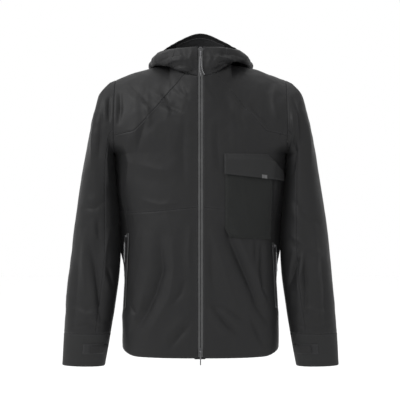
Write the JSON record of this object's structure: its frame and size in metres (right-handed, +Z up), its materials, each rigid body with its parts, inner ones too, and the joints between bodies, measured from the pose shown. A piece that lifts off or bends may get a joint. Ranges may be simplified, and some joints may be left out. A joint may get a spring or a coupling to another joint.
{
  "type": "hardshell jacket",
  "caption": "Hooded waterproof shell jacket, zipped up with its hood down, with sliding zips, a flapped chest pocket, hand pockets and peeling cuff tabs.",
  "frame": {"origin": "middle of the flat underside of the hanger loop at the back of the neck, where a hook bears", "axes": "+Z up along the jacket, -Y out of its front, +X towards the wearer's left"},
  "size_m": [0.698, 0.2838, 0.852],
  "materials": {
    "shell_cloth": "matt charcoal laminated nylon with a fine plain weave",
    "pocket_cloth": "matt, slightly heavier and darker ripstop",
    "lining_cloth": "dark smooth lining and facing",
    "coated_tape": "satin coated zip tape",
    "coil": "black nylon coil",
    "slider_metal": "gunmetal lacquer, worn bright on its edges",
    "cord": "braided cord, dark with pale flecks",
    "moulded_trim": "soft-touch moulded trim"
  },
  "bodies": {
    "jacket": {"back_panel": "shell_cloth", "care_label": "lining_cloth", "chest_pocket": "pocket_cloth", "hanger_loop": "lining_cloth", "hem_drawcord": "cord", "hem_facing": "lining_cloth", "hood_centre": "shell_cloth", "hood_peak": "lining_cloth", "left_chest": "shell_cloth", "left_collar": "shell_cloth", "left_cuff": "shell_cloth", "left_cuff_patch": "lining_cloth", "left_front": "shell_cloth", "left_hand_pocket_bag": "lining_cloth", "left_hand_zip_tape": "coated_tape", "left_hand_zip_teeth": "coil", "left_hem_cord_lock": "moulded_trim", "left_hood_side": "shell_cloth", "left_sleeve_top": "shell_cloth", "left_sleeve_under": "shell_cloth", "left_zip_tape": "coated_tape", "left_zip_teeth": "coil", "neck_tape": "lining_cloth", "right_chest": "shell_cloth", "right_collar": "shell_cloth", "right_cuff": "shell_cloth", "right_cuff_patch": "lining_cloth", "right_front": "shell_cloth", "right_hand_pocket_bag": "lining_cloth", "right_hand_zip_tape": "coated_tape", "right_hand_zip_teeth": "coil", "right_hem_cord_lock": "moulded_trim", "right_hood_side": "shell_cloth", "right_sleeve_top": "shell_cloth", "right_sleeve_under": "shell_cloth", "right_zip_tape": "coated_tape", "right_zip_teeth": "coil", "shoulder_yoke": "shell_cloth", "storm_flap": "lining_cloth", "top_stop": "slider_metal"},
    "top_slider": {"top_slider": "slider_metal"},
    "top_pull": {"top_pull": "slider_metal", "top_cord_a": "cord", "top_cord_b": "cord"},
    "bottom_slider": {"bottom_slider": "slider_metal"},
    "bottom_pull": {"bottom_pull": "slider_metal"},
    "pocket_flap": {"pocket_flap": "pocket_cloth", "flap_tab": "moulded_trim"},
    "left_hand_slider": {"left_hand_slider": "slider_metal"},
    "left_hand_pull": {"left_hand_pull": "slider_metal", "left_hand_cord_a": "cord", "left_hand_cord_b": "cord"},
    "left_cuff_tab": {"left_cuff_tab": "moulded_trim"},
    "right_hand_slider": {"right_hand_slider": "slider_metal"},
    "right_hand_pull": {"right_hand_pull": "slider_metal", "right_hand_cord_a": "cord", "right_hand_cord_b": "cord"},
    "right_cuff_tab": {"right_cuff_tab": "moulded_trim"}
  },
  "joints": [
    {"name": "top_slider_travel", "type": "slide", "parent": "jacket", "child": "top_slider", "axis": [0, -0.04, -0.9992], "range_m": [0, 0.5]},
    {"name": "top_pull_swing", "type": "hinge", "parent": "top_slider", "child": "top_pull", "pos_m": [0, -0.16406, 0.02234], "axis": [-1, 0, 0], "range_deg": [0, 150]},
    {"name": "bottom_slider_travel", "type": "slide", "parent": "jacket", "child": "bottom_slider", "axis": [0, 0.04, 0.9992], "range_m": [0, 0.15]},
    {"name": "bottom_pull_swing", "type": "hinge", "parent": "bottom_slider", "child": "bottom_pull", "pos_m": [0, -0.19338, -0.71066], "axis": [-1, 0, 0], "range_deg": [0, 150]},
    {"name": "left_hand_slider_travel", "type": "slide", "parent": "jacket", "child": "left_hand_slider", "axis": [0.0487, -0.018, -0.9986], "range_m": [0, 0.135]},
    {"name": "left_hand_pull_swing", "type": "hinge", "parent": "left_hand_slider", "child": "left_hand_pull", "pos_m": [0.1882, -0.11668, -0.45634], "axis": [-0.3943, -0.919, -0.0026], "range_deg": [0, 90]},
    {"name": "right_hand_slider_travel", "type": "slide", "parent": "jacket", "child": "right_hand_slider", "axis": [-0.0431, -0.018, -0.9989], "range_m": [0, 0.16]},
    {"name": "right_hand_pull_swing", "type": "hinge", "parent": "right_hand_slider", "child": "right_hand_pull", "pos_m": [-0.18805, -0.11625, -0.43239], "axis": [-0.3944, 0.9189, 0.0004], "range_deg": [0, 90]},
    {"name": "pocket_flap_lift", "type": "hinge", "parent": "jacket", "child": "pocket_flap", "pos_m": [0.116, -0.1608, -0.2238], "axis": [-0.9738, -0.2273, 0], "range_deg": [0, 100]},
    {"name": "left_cuff_tab_peel", "type": "hinge", "parent": "jacket", "child": "left_cuff_tab", "pos_m": [0.23543, -0.09835, -0.7142], "axis": [0.1708, 0.0085, -0.9853], "range_deg": [0, 110]},
    {"name": "right_cuff_tab_peel", "type": "hinge", "parent": "jacket", "child": "right_cuff_tab", "pos_m": [-0.23543, -0.09835, -0.7142], "axis": [0.1708, -0.0085, 0.9853], "range_deg": [0, 110]}
  ]
}
